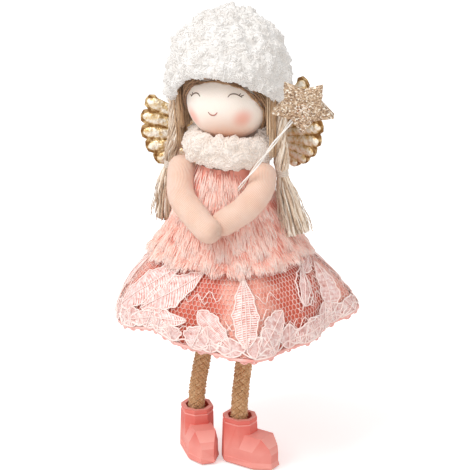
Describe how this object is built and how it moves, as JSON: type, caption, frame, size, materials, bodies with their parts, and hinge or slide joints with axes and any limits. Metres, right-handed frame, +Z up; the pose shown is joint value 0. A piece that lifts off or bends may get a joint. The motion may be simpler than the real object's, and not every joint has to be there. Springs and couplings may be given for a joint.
{
  "type": "hanging plush doll",
  "caption": "Hanging angel doll with a stuffed head, folded arms holding a star wand, a fur tunic over layered skirts, rope legs in moulded boots, and foil wings.",
  "frame": {"origin": "the point on top of the hat that the doll hangs from", "axes": "+Z up, -Y the way the doll faces, +X its own left side"},
  "size_m": [0.0965, 0.0924, 0.1877],
  "materials": {
    "cotton_filling": "matte",
    "felt": "matte",
    "turned_wood": "bare",
    "coral_satin": "satin",
    "pale_lace": "matte",
    "binding_tape": "matte",
    "peach_fur": "long pile",
    "white_boucle": "curled pile",
    "foam": "matte",
    "skin_cloth": "matte",
    "peach_knit": "ribbed",
    "taupe_yarn": "matte",
    "pale_thread": "matte",
    "paper_stick": "matte",
    "glitter_foam": "glitter",
    "tan_rope": "braided",
    "coral_resin": "satin",
    "gold_foil": "metallic embossed"
  },
  "bodies": {
    "torso": {"torso_core": "cotton_filling", "hip_disc": "felt", "neck_peg": "turned_wood", "waistband": "coral_satin", "satin_underskirt": "coral_satin", "lace_overskirt": "pale_lace", "hem_binding": "binding_tape", "fur_bodice": "peach_fur", "scarf": "white_boucle", "wing_bridge": "gold_foil", "wand_stick": "paper_stick", "star": "glitter_foam"},
    "head": {"head_core": "foam", "head_cover": "skin_cloth", "hair_cap": "taupe_yarn", "hat": "white_boucle", "hat_stuffing": "cotton_filling"},
    "right_pigtail": {"right_pigtail": "taupe_yarn", "right_hair_tie": "pale_thread"},
    "left_pigtail": {"left_pigtail": "taupe_yarn", "left_hair_tie": "pale_thread"},
    "folded_arms": {"right_arm": "peach_knit", "left_arm": "peach_knit"},
    "right_wing": {"right_wing": "gold_foil"},
    "left_wing": {"left_wing": "gold_foil"},
    "right_leg": {"right_leg_rope": "tan_rope"},
    "left_leg": {"left_leg_rope": "tan_rope"},
    "right_boot": {"right_boot": "coral_resin"},
    "left_boot": {"left_boot": "coral_resin"}
  },
  "joints": [
    {"name": "head_turn", "type": "hinge", "parent": "torso", "child": "head", "pos_m": [0, 0, -0.0662], "axis": [0, 0, 1], "range_deg": [-6, 6], "stiffness_Nm_per_rad": 0.02},
    {"name": "right_pigtail_swing", "type": "hinge", "parent": "head", "child": "right_pigtail", "pos_m": [-0.0216, -0.002, -0.03885], "axis": [0, 1, 0], "range_deg": [0, 15]},
    {"name": "left_pigtail_swing", "type": "hinge", "parent": "head", "child": "left_pigtail", "pos_m": [0.0216, -0.002, -0.03885], "axis": [0, -1, 0], "range_deg": [0, 15]},
    {"name": "arms_lift", "type": "hinge", "parent": "torso", "child": "folded_arms", "pos_m": [0, -0.0075, -0.0627], "axis": [-1, 0, 0], "range_deg": [0, 12]},
    {"name": "right_wing_flap", "type": "hinge", "parent": "torso", "child": "right_wing", "pos_m": [-0.00616, 0.0212, -0.06111], "axis": [0.2079, 0, -0.9781], "range_deg": [0, 25], "stiffness_Nm_per_rad": 0.004},
    {"name": "left_wing_flap", "type": "hinge", "parent": "torso", "child": "left_wing", "pos_m": [0.00616, 0.0212, -0.05849], "axis": [-0.2079, 0, 0.9781], "range_deg": [0, 25], "stiffness_Nm_per_rad": 0.004},
    {"name": "right_leg_swing", "type": "hinge", "parent": "torso", "child": "right_leg", "pos_m": [-0.0075, 0, -0.108], "axis": [-1, 0, 0], "range_deg": [-30, 35], "stiffness_Nm_per_rad": 0.03},
    {"name": "left_leg_swing", "type": "hinge", "parent": "torso", "child": "left_leg", "pos_m": [0.0075, 0, -0.108], "axis": [-1, 0, 0], "range_deg": [-30, 35], "stiffness_Nm_per_rad": 0.03},
    {"name": "right_boot_turn", "type": "hinge", "parent": "right_leg", "child": "right_boot", "pos_m": [-0.0125, -0.0042, -0.1807], "axis": [0, 0, -1], "range_deg": [0, 40], "stiffness_Nm_per_rad": 0.01},
    {"name": "left_boot_turn", "type": "hinge", "parent": "left_leg", "child": "left_boot", "pos_m": [0.0076, -0.0084, -0.1807], "axis": [0, 0, 1], "range_deg": [0, 25], "stiffness_Nm_per_rad": 0.01}
  ]
}
